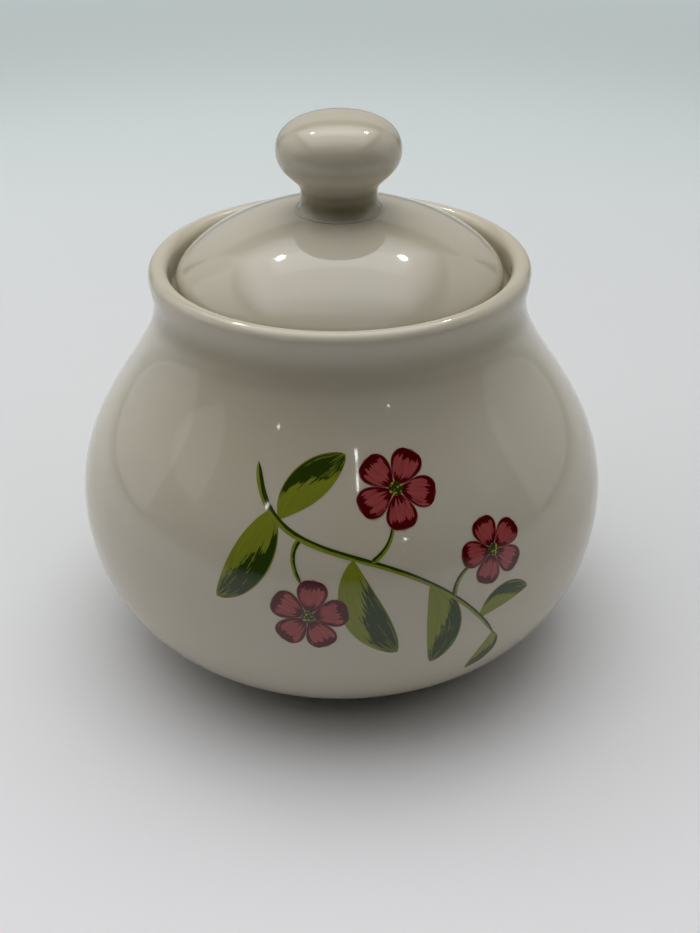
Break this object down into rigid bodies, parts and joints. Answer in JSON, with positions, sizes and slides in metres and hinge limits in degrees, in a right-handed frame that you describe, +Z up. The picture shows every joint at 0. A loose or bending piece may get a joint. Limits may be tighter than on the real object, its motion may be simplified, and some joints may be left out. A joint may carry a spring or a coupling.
{
  "type": "olive jar",
  "caption": "Squat round lidded ceramic jar with a narrowed neck, a rounded lip and a domed lid that lifts off by a flattened ball knob, for keeping olives at the table",
  "frame": {"origin": "middle of the foot ring, on the surface that the jar stands on", "axes": "+Z up along the axis of the jar, the decorated front faces -Y"},
  "size_m": [0.12, 0.12, 0.1209],
  "materials": {
    "glaze": "glossy ivory glaze",
    "bare_clay": "bare fired clay, matt"
  },
  "bodies": {
    "jar": {"jar_body": "glaze", "foot_ring": "bare_clay"},
    "lid": {"lid": "glaze", "lid_knob": "glaze"}
  },
  "joints": [
    {"name": "lid_lift", "type": "slide", "parent": "jar", "child": "lid", "axis": [0, 0, 1], "range_m": [0, 0.06]}
  ]
}
